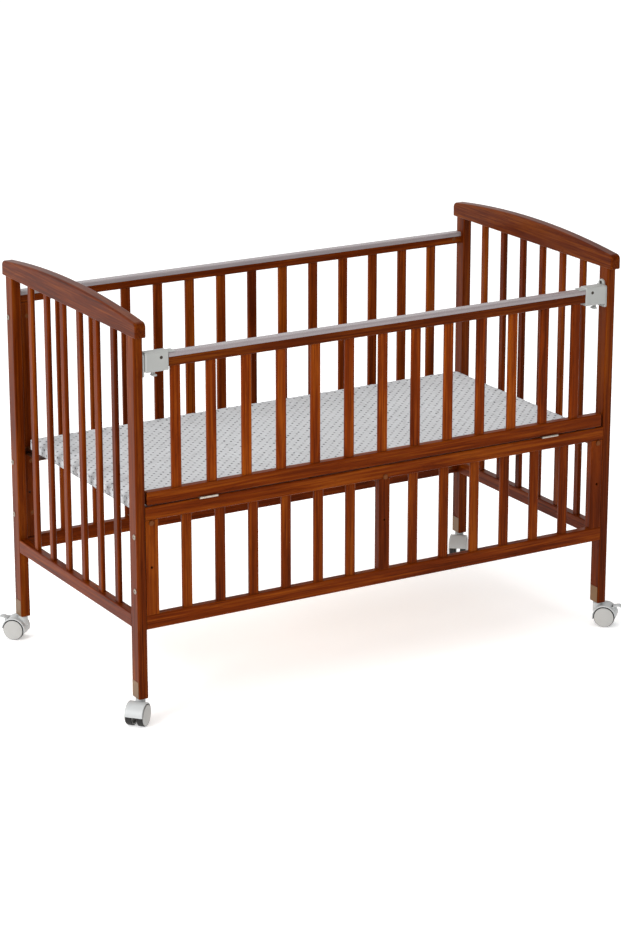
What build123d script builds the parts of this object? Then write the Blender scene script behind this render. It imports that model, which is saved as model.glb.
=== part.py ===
from build123d import *
import os
from math import cos, sin, radians, sqrt

os.makedirs("parts", exist_ok=True)

# Wooden folding-side crib on casters.  Millimetres, +Z up.
# Origin: on the floor, under the centre of the four posts.
# +X runs along the length, -Y is the side with the fold-down gate.

# ---------------------------------------------------------------- dimensions
HALF_LENGTH = 620.0        # outer faces of the posts, along X
HALF_WIDTH = 317.5         # outer faces of the posts, along Y
POST_X = 22.5              # post section along X
POST_Y = 33.7              # post section along Y
POST_BOTTOM = 59.0         # caster height under the post
CAP_UNDER = 872.0          # underside of the arched cap rails
CAP_TOP = 925.0            # crown of the arch
CAP_ARC_DROP = 16.5        # drop of the arch at 300 mm from the middle
CAP_HALF = 332.5           # half length of a cap rail
CAP_THICK = 26.0
CAP_PROUD = 2.0            # cap stands proud of the post's outer face
CAP_CORNER = 12.0

PANEL = 20.0               # depth of every front and back rail
EDGE = 3.0                 # rounding on rail edges
SLAT_T = 11.0              # slat thickness
SLAT_W = 23.0              # slat width
SLAT_EDGE = 3.6
TENON_DEEP = 8.0

END_RAIL = (217.4, 248.5)          # z of the end panels' bottom rails
END_SLAT_Y = (41.0, 123.3, 205.5)
END_SLAT_W = 20.0
END_SLAT_T = 10.5

LOW_BOTTOM = (216.5, 249.5)        # lower front panel and back panel bottom rails
LOW_TOP = (464.0, 494.4)           # lower front panel top rail
LOW_PITCH = 82.4
STILE_W = 30.5
CENTRE_STILE_X = 2.0
CENTRE_STILE_W = 28.0

GATE_BOTTOM = (496.8, 527.0)
GATE_TOP = (798.0, 827.5)
GATE_HALF = 592.7                  # half length of the gate's bottom rail
GATE_TOP_HALF = 560.0              # half length of the gate's top rail, inside the latches
GATE_PITCH = 86.2
COVER_WALL = 1.7
COVER_SKIRT = 8.6                  # how far the teething cover reaches down the rail

BACK_TOP = (809.0, 835.6)
BACK_FIRST_X = -490.1
BACK_PITCH = 83.9

HINGE_X = 445.5                    # hinge centres
HINGE_LEN = 44.0
HINGE_Z = 495.6                    # middle of the gap between the rails
LEAF = 1.1
LEAF_GAP = 0.2
PIN_Y = -(HALF_WIDTH + 2.9)        # hinge pin axis, just in front of the rails
KNUCKLE_R = 2.6
PIN_R = 1.2

LATCH_IN, LATCH_OUT = 537.0, 592.0 # latch housing along X
LATCH_Z = (791.0, 834.0)
LATCH_Y = (-320.0, -295.0)
LATCH_TRAVEL = 5.5
KEEPER_T = 4.5

BOARD = (550.0, 262.0, 454.0, 460.0)
MATTRESS = (588.0, 290.0, 460.2, 490.0)

WHEEL_R = 25.0
AXLE_R = 3.0
TRAIL = 19.0
HOOD_R = 28.6
STEM_R = 4.0

YC_FRONT = -(HALF_WIDTH - PANEL / 2)
YC_BACK = HALF_WIDTH - PANEL / 2
IN_X = HALF_LENGTH - POST_X
IN_Y = HALF_WIDTH - POST_Y
POST_CX = HALF_LENGTH - POST_X / 2
POST_CY = HALF_WIDTH - POST_Y / 2


# ---------------------------------------------------------------- helpers
def box(x0, x1, y0, y1, z0, z1):
    return Pos((x0 + x1) / 2, (y0 + y1) / 2, (z0 + z1) / 2) * Box(abs(x1 - x0), abs(y1 - y0), abs(z1 - z0))


def bar_x(x0, x1, y0, y1, z0, z1, r):
    s = Plane.YZ * RectangleRounded(y1 - y0, z1 - z0, r)
    return Pos(x0, (y0 + y1) / 2, (z0 + z1) / 2) * extrude(s, x1 - x0)


def bar_y(x0, x1, y0, y1, z0, z1, r):
    s = Plane.XZ * RectangleRounded(x1 - x0, z1 - z0, r)
    return Pos((x0 + x1) / 2, y1, (z0 + z1) / 2) * extrude(s, y1 - y0)


def bar_z(x0, x1, y0, y1, z0, z1, r):
    s = RectangleRounded(x1 - x0, y1 - y0, r)
    return Pos((x0 + x1) / 2, (y0 + y1) / 2, z0) * extrude(s, z1 - z0)


def cyl_x(x0, x1, y, z, r):
    return Pos((x0 + x1) / 2, y, z) * Rot(0, 90, 0) * Cylinder(r, abs(x1 - x0))


def cyl_y(x, y0, y1, z, r):
    return Pos(x, (y0 + y1) / 2, z) * Rot(90, 0, 0) * Cylinder(r, abs(y1 - y0))


def cyl_z(x, y, z0, z1, r):
    return Pos(x, y, (z0 + z1) / 2) * Cylinder(r, abs(z1 - z0))


def slat(x, y, w, t, z0, z1):
    """upright slat with a shouldered tenon at each end; w along X, t along Y"""
    body = bar_z(x - w / 2, x + w / 2, y - t / 2, y + t / 2, z0, z1, min(SLAT_EDGE, t / 2 - 1.0))
    core = box(x - w / 2 + 4, x + w / 2 - 4, y - t / 2 + 2, y + t / 2 - 2, z0 - TENON_DEEP, z1 + TENON_DEEP)
    return body + core


def mortise(x, y, w, t, z0, z1):
    return box(x - w / 2 + 4, x + w / 2 - 4, y - t / 2 + 2, y + t / 2 - 2, z0, z1)


def group(solids):
    out = []
    for s in solids:
        out.extend(s.solids())
    return Compound(children=out) if len(out) > 1 else out[0]


def write(shape, name):
    export_step(shape, "parts/" + name + ".step")


# ---------------------------------------------------------------- panel fixing positions
FRONT_BOLT_Z = (306.0, 429.0)
BACK_LEFT_BOLT_Z = (306.0, 432.0, 777.0)
BACK_RIGHT_BOLT_Z = (233.0, 821.0)
NUT_X = 578.0              # barrel nuts, along X
BASE_LOW_Z = 357.0         # lower base position, end stiles
BASE_HIGH_Z = 457.5        # upper base position, end stiles
BASE_MID_LOW_Z = 367.0     # the same two positions at the middle stile
BASE_MID_HIGH_Z = 468.0
BASE_X = 584.0
BASE_HOLE_R = 3.25

panel_bolt_list = []       # (side, y, z)
for z in FRONT_BOLT_Z:
    panel_bolt_list.append((-1, YC_FRONT, z))
    panel_bolt_list.append((1, YC_FRONT, z))
for z in BACK_LEFT_BOLT_Z:
    panel_bolt_list.append((-1, YC_BACK, z))
for z in BACK_RIGHT_BOLT_Z:
    panel_bolt_list.append((1, YC_BACK, z))


def bolt_hole(side, y, z):
    return cyl_x(side * (NUT_X - 8), side * (HALF_LENGTH + 1), y, z, 3.25)


def nut_hole(side, y, z):
    inner = -1 if y > 0 else 1
    y_face = y + inner * PANEL / 2
    return cyl_y(side * NUT_X, y_face, y_face - inner * 16.0, z, 5.05)


holes = [bolt_hole(*b) for b in panel_bolt_list]
nut_holes = [nut_hole(*b) for b in panel_bolt_list]


# ---------------------------------------------------------------- posts
def post(sx, sy):
    x0, x1 = sorted((sx * IN_X, sx * HALF_LENGTH))
    y0, y1 = sorted((sy * IN_Y, sy * HALF_WIDTH))
    cx, cy = sx * POST_CX, sy * POST_CY
    p = bar_z(x0, x1, y0, y1, POST_BOTTOM, CAP_UNDER, EDGE)
    p += box(cx - 6.5, cx + 6.5, cy - 11, cy + 11, CAP_UNDER - 1, CAP_UNDER + 12)          # tenon for the cap rail
    p -= box(cx - 5, cx + 5, sy * IN_Y, sy * (IN_Y + 12), END_RAIL[0] + 5, END_RAIL[1] - 5) # mortise for the end rail
    p -= cyl_z(cx, cy, POST_BOTTOM - 1, POST_BOTTOM + 42, 6.05)                            # caster socket bore
    for (s, y, z), h in zip(panel_bolt_list, holes):
        if s == sx and (y > 0) == (sy > 0):
            p -= h
    if sx > 0 and sy > 0:                                                                  # base fixing holes, this post has no stile beside it
        for z in (BASE_LOW_Z, BASE_HIGH_Z):
            p -= cyl_x(IN_X - 1, HALF_LENGTH + 1, POST_CY - 10, z, BASE_HOLE_R)
    return p


write(post(-1, -1), "front_left_post")
write(post(1, -1), "front_right_post")
write(post(-1, 1), "back_left_post")
write(post(1, 1), "back_right_post")


# ---------------------------------------------------------------- end panels
def cap(sx):
    arc_end = CAP_TOP - CAP_ARC_DROP * (CAP_HALF / 300.0) ** 2
    outline = Line((-CAP_HALF, CAP_UNDER), (CAP_HALF, CAP_UNDER))
    outline += Line((CAP_HALF, CAP_UNDER), (CAP_HALF, arc_end))
    outline += ThreePointArc((CAP_HALF, arc_end), (0, CAP_TOP), (-CAP_HALF, arc_end))
    outline += Line((-CAP_HALF, arc_end), (-CAP_HALF, CAP_UNDER))
    face = make_face(outline)
    top_corners = [v for v in face.vertices() if v.Y > CAP_UNDER + 5]
    face = fillet(top_corners, CAP_CORNER)
    x_out = sx * (HALF_LENGTH + CAP_PROUD)
    x_low = min(x_out, x_out - sx * CAP_THICK)
    c = Pos(x_low, 0, 0) * extrude(Plane.YZ * face, CAP_THICK)
    round_me = [e for e in c.edges()
                if e.center().Z > CAP_UNDER + 6 and abs(abs(e.center().X - (x_low + CAP_THICK / 2)) - CAP_THICK / 2) < 0.01]
    c = fillet(round_me, 4.5)
    low = [e for e in c.edges()
           if abs(e.center().Z - CAP_UNDER) < 0.01 and e.length > 300]
    c = fillet(low, 2.0)
    for sy in (-1, 1):
        cx, cy = sx * POST_CX, sy * POST_CY
        c -= box(cx - 6.5, cx + 6.5, cy - 11, cy + 11, CAP_UNDER - 3, CAP_UNDER + 12)
    for y in END_SLAT_Y:
        for yy in (-y, y):
            c -= box(sx * POST_CX - END_SLAT_T / 2 + 2, sx * POST_CX + END_SLAT_T / 2 - 2,
                     yy - END_SLAT_W / 2 + 4, yy + END_SLAT_W / 2 - 4, CAP_UNDER - 3, CAP_UNDER + TENON_DEEP)
    return c


def end_rail(sx):
    x0, x1 = sorted((sx * (IN_X + 0.5), sx * HALF_LENGTH))
    cx = sx * POST_CX
    r = bar_y(x0, x1, -IN_Y, IN_Y, END_RAIL[0], END_RAIL[1], EDGE)
    r += box(cx - 5, cx + 5, -IN_Y - 12, IN_Y + 12, END_RAIL[0] + 5, END_RAIL[1] - 5)
    for y in END_SLAT_Y:
        for yy in (-y, y):
            r -= box(cx - END_SLAT_T / 2 + 2, cx + END_SLAT_T / 2 - 2,
                     yy - END_SLAT_W / 2 + 4, yy + END_SLAT_W / 2 - 4, END_RAIL[1] - TENON_DEEP, END_RAIL[1] + 3)
    return r


def end_slat(sx, y):
    cx = sx * POST_CX
    b = bar_z(cx - END_SLAT_T / 2, cx + END_SLAT_T / 2, y - END_SLAT_W / 2, y + END_SLAT_W / 2,
              END_RAIL[1], CAP_UNDER, SLAT_EDGE)
    return b + box(cx - END_SLAT_T / 2 + 2, cx + END_SLAT_T / 2 - 2, y - END_SLAT_W / 2 + 4, y + END_SLAT_W / 2 - 4,
                   END_RAIL[1] - TENON_DEEP, CAP_UNDER + TENON_DEEP)


write(cap(-1), "left_end_cap_rail")
write(cap(1), "right_end_cap_rail")
write(end_rail(-1), "left_end_bottom_rail")
write(end_rail(1), "right_end_bottom_rail")
write(group([end_slat(sx, s * y) for sx in (-1, 1) for y in END_SLAT_Y for s in (-1, 1)]), "end_slats")


# ---------------------------------------------------------------- front and back panels
def rail(x0, x1, yc, z, pockets, up, w=SLAT_W, r=EDGE):
    """horizontal rail with mortises for the slats, in its top (up) or its underside"""
    b = bar_x(x0, x1, yc - PANEL / 2, yc + PANEL / 2, z[0], z[1], r)
    for x in pockets:
        if up:
            b -= mortise(x, yc, w, SLAT_T, z[1] - TENON_DEEP, z[1] + 1)
        else:
            b -= mortise(x, yc, w, SLAT_T, z[0] - 1, z[0] + TENON_DEEP)
    return b


def stile(x0, x1, yc, z0, z1):
    """upright as deep as the rails, tenoned into both"""
    s = bar_z(x0, x1, yc - PANEL / 2, yc + PANEL / 2, z0, z1, 2.0)
    return s + box(x0 + 6, x1 - 6, yc - 4, yc + 4, z0 - TENON_DEEP, z1 + TENON_DEEP)


def stile_pocket(x0, x1, yc, z0, z1):
    return box(x0 + 6, x1 - 6, yc - 4, yc + 4, z0, z1)


def cut_all(b, tools):
    for t in tools:
        b -= t
    return b


def side_holes(y_positive, left_only=False):
    out = []
    for (s, y, z), h, n in zip(panel_bolt_list, holes, nut_holes):
        if (y > 0) == y_positive:
            out.append((s, z, h, n))
    return out


# lower front panel
low_x = [k * LOW_PITCH for k in range(-6, 7) if k != 0]
stiles_low = [(-IN_X, -IN_X + STILE_W), (IN_X - STILE_W, IN_X),
              (CENTRE_STILE_X - CENTRE_STILE_W / 2, CENTRE_STILE_X + CENTRE_STILE_W / 2)]
lt = rail(-IN_X, IN_X, YC_FRONT, LOW_TOP, low_x, False)
lb = rail(-IN_X, IN_X, YC_FRONT, LOW_BOTTOM, low_x, True)
for a, b in stiles_low:
    lt -= stile_pocket(a, b, YC_FRONT, LOW_TOP[0] - 1, LOW_TOP[0] + TENON_DEEP)
    lb -= stile_pocket(a, b, YC_FRONT, LOW_BOTTOM[1] - TENON_DEEP, LOW_BOTTOM[1] + 1)
lt -= cyl_y(CENTRE_STILE_X + 1, -HALF_WIDTH - 1, -HALF_WIDTH + PANEL + 1, BASE_MID_HIGH_Z, BASE_HOLE_R)
write(lt, "lower_front_top_rail")
write(lb, "lower_front_bottom_rail")
write(group([slat(x, YC_FRONT, SLAT_W, SLAT_T, LOW_BOTTOM[1], LOW_TOP[0]) for x in low_x]), "lower_front_slats")

front_stiles = []
for a, b in stiles_low:
    s = stile(a, b, YC_FRONT, LOW_BOTTOM[1], LOW_TOP[0])
    cx = (a + b) / 2
    if abs(cx) > 100:
        side = 1 if cx > 0 else -1
        for sd, z, h, n in side_holes(False):
            if sd == side:
                s -= h
                s -= n
        for z in (BASE_LOW_Z, BASE_HIGH_Z):
            s -= cyl_y(side * BASE_X, -HALF_WIDTH - 1, -HALF_WIDTH + PANEL + 1, z, BASE_HOLE_R)
    else:
        s -= cyl_y(CENTRE_STILE_X, -HALF_WIDTH - 1, -HALF_WIDTH + PANEL + 1, BASE_MID_LOW_Z, BASE_HOLE_R)
        s -= cyl_y(CENTRE_STILE_X + 1, -HALF_WIDTH - 1, -HALF_WIDTH + PANEL + 1, BASE_MID_HIGH_Z, BASE_HOLE_R)
    front_stiles.append(s)

# back panel: full height, one stile at the left end, the right post takes the next slat's place
back_x = [BACK_FIRST_X + k * BACK_PITCH for k in range(13)]
bt = rail(-IN_X, IN_X, YC_BACK, BACK_TOP, back_x, False)
bb = rail(-IN_X, IN_X, YC_BACK, LOW_BOTTOM, back_x, True)
a, b = -IN_X, -IN_X + STILE_W
bt -= stile_pocket(a, b, YC_BACK, BACK_TOP[0] - 1, BACK_TOP[0] + TENON_DEEP)
bb -= stile_pocket(a, b, YC_BACK, LOW_BOTTOM[1] - TENON_DEEP, LOW_BOTTOM[1] + 1)
for sd, z, h, n in side_holes(True):
    if sd > 0:
        if z > 500:
            bt = bt - h - n
        else:
            bb = bb - h - n
write(bt, "back_top_rail")
write(bb, "back_bottom_rail")
write(group([slat(x, YC_BACK, SLAT_W, SLAT_T, LOW_BOTTOM[1], BACK_TOP[0]) for x in back_x]), "back_slats")
bs = stile(a, b, YC_BACK, LOW_BOTTOM[1], BACK_TOP[0])
for sd, z, h, n in side_holes(True):
    if sd < 0:
        bs = bs - h - n
for z in (BASE_LOW_Z, BASE_HIGH_Z):
    bs -= cyl_y(-BASE_X, HALF_WIDTH - PANEL - 1, HALF_WIDTH + 1, z, BASE_HOLE_R)
write(group(front_stiles + [bs]), "panel_stiles")


def cover(x0, x1, yc, z_top):
    """teething cover: a channel pressed over the rail's top edge"""
    y0, y1 = yc - PANEL / 2, yc + PANEL / 2
    outer = box(x0, x1, y0 - COVER_WALL, y1 + COVER_WALL, z_top - COVER_SKIRT, z_top + COVER_WALL - 0.2)
    top_edges = [e for e in outer.edges().filter_by(Axis.X) if e.center().Z > z_top]
    outer = fillet(top_edges, 4.2)
    low_edges = [e for e in outer.edges().filter_by(Axis.X) if e.center().Z < z_top - COVER_SKIRT + 0.1]
    outer = fillet(low_edges, 0.7)
    inner = bar_x(x0 - 1, x1 + 1, y0, y1, z_top - 40, z_top, EDGE)
    return outer - inner


write(cover(-IN_X + 0.3, IN_X - 0.3, YC_BACK, BACK_TOP[1]), "back_teething_cover")

# gate
gate_x = [k * GATE_PITCH for k in range(-6, 7)]
gb = Pos(0, YC_FRONT, (GATE_BOTTOM[0] + GATE_BOTTOM[1]) / 2) * Box(2 * GATE_HALF, PANEL, GATE_BOTTOM[1] - GATE_BOTTOM[0])
gb = fillet(gb.edges(), EDGE)
for x in gate_x:
    gb -= mortise(x, YC_FRONT, SLAT_W, SLAT_T, GATE_BOTTOM[1] - TENON_DEEP, GATE_BOTTOM[1] + 1)
write(gb, "gate_bottom_rail")
write(rail(-GATE_TOP_HALF, GATE_TOP_HALF, YC_FRONT, GATE_TOP, gate_x, False), "gate_top_rail")
write(group([slat(x, YC_FRONT, SLAT_W, SLAT_T, GATE_BOTTOM[1], GATE_TOP[0]) for x in gate_x]), "gate_slats")
write(cover(-LATCH_IN + 0.4, LATCH_IN - 0.4, YC_FRONT, GATE_TOP[1]), "gate_teething_cover")


# ---------------------------------------------------------------- hinges
def leaf(cx, upper):
    """one hinge leaf with its knuckles; the lower leaf has the middle knuckle"""
    h = HINGE_LEN / 2
    if upper:
        z0, z1 = HINGE_Z + LEAF_GAP / 2, HINGE_Z + LEAF_GAP / 2 + LEAF
    else:
        z0, z1 = HINGE_Z - LEAF_GAP / 2 - LEAF, HINGE_Z - LEAF_GAP / 2
    plate = box(cx - h, cx + h, PIN_Y + KNUCKLE_R + 0.3, PIN_Y + 21.0, z0, z1)
    spans = [(-h, -h / 3 - 0.15), (h / 3 + 0.15, h)] if upper else [(-h / 3 + 0.15, h / 3 - 0.15)]
    out = plate
    for a, b in spans:
        out += box(cx + a, cx + b, PIN_Y + 1.8, PIN_Y + KNUCKLE_R + 0.4, z0, z1)
        out += cyl_x(cx + a, cx + b, PIN_Y, HINGE_Z, KNUCKLE_R)
    out -= cyl_x(cx - h - 1, cx + h + 1, PIN_Y, HINGE_Z, PIN_R + 0.05)
    for dx in (-15, 0, 15):
        out -= cyl_z(cx + dx, PIN_Y + 12.5, z0 - 1, z1 + 1, 1.7)
    return out


write(group([leaf(s * HINGE_X, False) for s in (-1, 1)]), "hinge_lower_leaves")
write(group([leaf(s * HINGE_X, True) for s in (-1, 1)]), "hinge_upper_leaves")
write(group([cyl_x(s * HINGE_X - HINGE_LEN / 2 - 0.6, s * HINGE_X + HINGE_LEN / 2 + 0.6, PIN_Y, HINGE_Z, PIN_R)
             for s in (-1, 1)]), "hinge_pins")


# ---------------------------------------------------------------- latches
def housing(s):
    """sleeve over the gate top rail's end, with the spring bolt's chamber beyond it"""
    x0, x1 = LATCH_IN, LATCH_OUT
    y0, y1 = LATCH_Y
    z0, z1 = LATCH_Z
    b = box(x0, x1, y0, y1, z0, z1)
    b = fillet(b.edges(), 2.6)
    b += box(x0 - 15.5, x0 + 4, y0 + 2.2, y1 - 2.2, GATE_TOP[1] + COVER_WALL + 0.1, GATE_TOP[1] + COVER_WALL + 2.4)
    b -= bar_x(x0 - 1, GATE_TOP_HALF, YC_FRONT - PANEL / 2, YC_FRONT + PANEL / 2, GATE_TOP[0], GATE_TOP[1], EDGE)
    b -= box(GATE_TOP_HALF - 1, x1 - 2.5, YC_FRONT - 7.5, YC_FRONT + 7.5, z0 + 5, z1 - 10)
    b -= box(x1 - 3, x1 + 1, YC_FRONT - 4.8, YC_FRONT + 4.8, 802.8, 817.2)
    b -= box(559.6, 587.0, YC_FRONT - 3.3, YC_FRONT + 3.3, z0 - 1, z0 + 6)
    b -= cyl_y(555.0, y0 - 1, YC_FRONT - 9.9, 821.0, 2.1)
    b -= Pos(555.0, y0 + 0.9, 821.0) * Rot(90, 0, 0) * Cone(2.1, 4.1, 1.9)
    return b if s > 0 else mirror(b, Plane.YZ)


def latch_bolt(s):
    b = box(566.0, 586.5, YC_FRONT - 6.8, YC_FRONT + 6.8, 799.0, 821.0)
    b += box(586.0, 596.8, YC_FRONT - 4.3, YC_FRONT + 4.3, 803.3, 816.7)
    b += box(565.5 + 0.5, 572.5, YC_FRONT - 2.9, YC_FRONT + 2.9, 784.0, 799.5)
    hook = box(563.0, 572.5, YC_FRONT - 6.5, YC_FRONT + 6.5, 780.0, 784.2)
    hook = fillet(hook.edges().filter_by(Axis.Y), 1.6)
    b += hook
    b -= cyl_x(565.0, 576.0, YC_FRONT, 810.0, 4.4)
    return b if s > 0 else mirror(b, Plane.YZ)


def spring(s):
    wire = 0.5
    length = 576.0 - 560.0 - 2 * wire - 0.2
    path = Helix(pitch=length / 6.0, height=length, radius=3.4)
    start = path @ 0
    sec = Plane(origin=start, z_dir=path % 0) * Circle(wire)
    coil = sweep(sec, path)
    coil = Pos(560.0 + wire + 0.1, YC_FRONT, 810.0) * Rot(0, 90, 0) * coil
    return coil if s > 0 else mirror(coil, Plane.YZ)


def keeper(s):
    x0, x1 = IN_X - KEEPER_T, IN_X
    ear_y = -298.0
    plate = box(x0, x1, -316.0, -281.0, 781.0, 832.0)
    plate = fillet(plate.edges().filter_by(Axis.X), 4.0)
    plate += cyl_x(x0, x1, ear_y, 834.0, 10.5)
    rim = [e for e in plate.edges() if abs(e.center().X - x0) < 0.01]
    plate = fillet(rim, 1.2)
    plate -= box(x0 - 1, x1 + 1, YC_FRONT - 4.7, YC_FRONT + 4.7, 802.7, 817.3)
    for z in (837.0, 788.0):
        plate -= cyl_x(x0 - 1, x1 + 1, ear_y, z, 2.1)
    return plate if s > 0 else mirror(plate, Plane.YZ)


write(housing(-1), "left_latch_housing")
write(housing(1), "right_latch_housing")
write(latch_bolt(-1), "left_latch_bolt")
write(latch_bolt(1), "right_latch_bolt")
write(spring(-1), "left_latch_spring")
write(spring(1), "right_latch_spring")
write(group([keeper(-1), keeper(1)]), "latch_keepers")


# ---------------------------------------------------------------- screws
def screw_z(x, y, z_head, up, length=13.0):
    """countersunk wood screw; the head lies in the leaf's face at z_head"""
    d = 1 if up else -1
    shank = cyl_z(x, y, z_head, z_head + d * length, 1.5)
    head = Pos(x, y, z_head + d * 0.5) * Rot(0 if up else 180, 0, 0) * Cone(3.0, 1.6, 1.0)
    return shank + head


hs_y = PIN_Y + 12.5
upper_face = HINGE_Z + LEAF_GAP / 2
lower_face = HINGE_Z - LEAF_GAP / 2
gate_screws = [screw_z(s * HINGE_X + dx, hs_y, upper_face, True) for s in (-1, 1) for dx in (-15, 0, 15)]
for s in (-1, 1):
    sc = cyl_y(s * 555.0, LATCH_Y[0] + 0.9, YC_FRONT + 4, 821.0, 1.7)
    sc += Pos(s * 555.0, LATCH_Y[0] + 1.1, 821.0) * Rot(90, 0, 0) * Cone(1.7, 3.7, 1.7)
    sc -= box(s * 555.0 - 2.6, s * 555.0 + 2.6, LATCH_Y[0] - 1, LATCH_Y[0] + 0.9, 820.6, 821.4)
    sc -= box(s * 555.0 - 0.4, s * 555.0 + 0.4, LATCH_Y[0] - 1, LATCH_Y[0] + 0.9, 818.4, 823.6)
    gate_screws.append(sc)
write(group(gate_screws), "gate_screws")

fixed_screws = [screw_z(s * HINGE_X + dx, hs_y, lower_face, False) for s in (-1, 1) for dx in (-15, 0, 15)]
for s in (-1, 1):
    for z in (837.0, 788.0):
        x_face = IN_X - KEEPER_T
        sc = cyl_x(s * (x_face - 0.2), s * (x_face + 20), -298.0, z, 1.9)
        sc += cyl_x(s * (x_face - 1.3), s * (x_face - 0.01), -298.0, z, 3.6)
        sc -= box(*sorted((s * (x_face - 2), s * (x_face - 0.6))), -300.6, -295.4, z - 0.4, z + 0.4)
        sc -= box(*sorted((s * (x_face - 2), s * (x_face - 0.6))), -298.4, -297.6, z - 2.6, z + 2.6)
        fixed_screws.append(sc)
write(group(fixed_screws), "fixed_side_screws")


# ---------------------------------------------------------------- panel bolts and barrel nuts
def panel_bolt(side, y, z):
    b = cyl_x(side * (NUT_X - 7), side * (HALF_LENGTH + 0.1), y, z, 3.0)
    head = cyl_x(side * HALF_LENGTH, side * (HALF_LENGTH + 1.9), y, z, 6.0)
    rim = [e for e in head.edges() if abs(abs(e.center().X) - HALF_LENGTH - 1.9) < 0.05]
    head = fillet(rim, 1.1)
    b += head
    hexa = extrude(Plane.YZ * RegularPolygon(2.2, 6), 4.0)
    b -= Pos(side * (HALF_LENGTH + 1.0) - 2.0 + side * 1.6, y, z) * hexa
    return b


def barrel_nut(side, y, z):
    inner = -1 if y > 0 else 1
    y_face = y + inner * PANEL / 2
    n = cyl_y(side * NUT_X, y_face - inner * 0.6, y_face - inner * 15.8, z, 4.95)
    n -= cyl_x(side * (NUT_X - 10), side * (NUT_X + 10), y, z, 3.05)
    n -= box(side * NUT_X - 3.6, side * NUT_X + 3.6, y_face, y_face - inner * 1.8, z - 0.6, z + 0.6)
    return n


write(group([panel_bolt(*b) for b in panel_bolt_list]), "panel_bolts")
write(group([barrel_nut(*b) for b in panel_bolt_list]), "barrel_nuts")


# ---------------------------------------------------------------- mattress base
board = box(-BOARD[0], BOARD[0], -BOARD[1], BOARD[1], BOARD[2], BOARD[3])
board = fillet(board.edges().filter_by(Axis.Z), 12.0)
vents = []
for i in range(-5, 5):
    for j in (-1.5, -0.5, 0.5, 1.5):
        vents.append(cyl_z((i + 0.5) * 118.0, j * 112.0, BOARD[2] - 1, BOARD[3] + 1, 10.0))
for v in vents:
    board -= v
write(board, "mattress_board")
write(group([bar_y(x - 22, x + 22, -200, 200, BOARD[2] - 18, BOARD[2], 2.0) for x in (-472.0, 0.0, 472.0)]), "base_battens")

BR_T = 2.0
zb1, zb0 = BOARD[2], BOARD[2] - BR_T


def bracket_end(sx, sy):
    """angle bracket between an end stile and the board's corner"""
    yf = sy * (HALF_WIDTH - PANEL)
    x_out, x_in = sx * 595.0, sx * 572.0
    up = box(*sorted((x_in, x_out)), *sorted((yf, yf - sy * BR_T)), zb0, BASE_HIGH_Z + 9)
    foot = box(*sorted((x_in, x_out)), *sorted((yf, sy * 240.0)), zb0, zb1)
    wide = box(*sorted((sx * 520.0, x_out)), *sorted((sy * 258.0, sy * 228.0)), zb0, zb1)
    b = up + foot + wide
    b -= cyl_y(sx * BASE_X, *sorted((yf + sy, yf - sy * 4)), BASE_HIGH_Z, BASE_HOLE_R)
    b -= cyl_y(sx * BASE_X, *sorted((yf - sy * BR_T, yf - sy * 8)), BASE_HIGH_Z, 5.4)
    return b


def bracket_mid():
    yf = -(HALF_WIDTH - PANEL)
    up = box(CENTRE_STILE_X - 10, CENTRE_STILE_X + 12, yf, yf + BR_T, zb0, BASE_MID_HIGH_Z + 9)
    foot = box(CENTRE_STILE_X - 10, CENTRE_STILE_X + 12, yf, -228.0, zb0, zb1)
    b = up + foot
    b -= cyl_y(CENTRE_STILE_X + 1, yf - 1, yf + 4, BASE_MID_HIGH_Z, BASE_HOLE_R)
    return b


def bracket_post():
    """the back right corner is carried by the post itself"""
    x_face = IN_X
    up = box(x_face - BR_T, x_face, 284.5, 296.5, zb0, BASE_HIGH_Z + 9)
    foot = box(x_face - 25.0, x_face, 240.0, 296.5, zb0, zb1)
    wide = box(520.0, x_face - 2.0, 228.0, 258.0, zb0, zb1)
    b = up + foot + wide
    b -= cyl_x(x_face - 4, x_face + 1, POST_CY - 10, BASE_HIGH_Z, BASE_HOLE_R)
    b -= cyl_x(x_face - 8, x_face - BR_T, POST_CY - 10, BASE_HIGH_Z, 5.4)
    return b


write(group([bracket_end(-1, -1), bracket_end(1, -1), bracket_end(-1, 1), bracket_mid(), bracket_post()]), "base_brackets")


def button_bolt(axis, p_head, direction, length):
    """M6 bolt with a low round head; direction is +1 or -1 along the axis, from the head inwards"""
    x, y, z = p_head
    d = direction
    if axis == "y":
        b = cyl_y(x, y, y + d * length, z, 3.0)
        h = cyl_y(x, y, y - d * 2.0, z, 5.6)
        n = cyl_y(x, y + d * (length - 5.2), y + d * (length - 1.2), z, 5.0)
        n -= cyl_y(x, y + d * (length - 6), y + d * length, z, 3.02)
    else:
        b = cyl_x(x, x + d * length, y, z, 3.0)
        h = cyl_x(x, x - d * 2.0, y, z, 5.6)
        n = cyl_x(x + d * (length - 5.2), x + d * (length - 1.2), y, z, 5.0)
        n -= cyl_x(x + d * (length - 6), x + d * length, y, z, 3.02)
    return [b + h, n]


base_bolts = []
for sx in (-1, 1):
    base_bolts += button_bolt("y", (sx * BASE_X, -HALF_WIDTH, BASE_HIGH_Z), 1, 27.2)
base_bolts += button_bolt("y", (CENTRE_STILE_X + 1, -HALF_WIDTH, BASE_MID_HIGH_Z), 1, 27.2)
base_bolts += button_bolt("y", (-BASE_X, HALF_WIDTH, BASE_HIGH_Z), -1, 27.2)
base_bolts += button_bolt("x", (HALF_LENGTH, POST_CY - 10, BASE_HIGH_Z), -1, 29.8)
write(group(base_bolts), "base_bolts")


# ---------------------------------------------------------------- mattress
m = box(-MATTRESS[0], MATTRESS[0], -MATTRESS[1], MATTRESS[1], MATTRESS[2], MATTRESS[3])
m = fillet(m.edges().filter_by(Axis.Z), 22.0)
m = fillet([e for e in m.edges() if abs(e.center().Z - MATTRESS[3]) < 0.1], 9.0)
m = fillet([e for e in m.edges() if abs(e.center().Z - MATTRESS[2]) < 0.1], 6.0)
write(m, "mattress")


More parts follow.
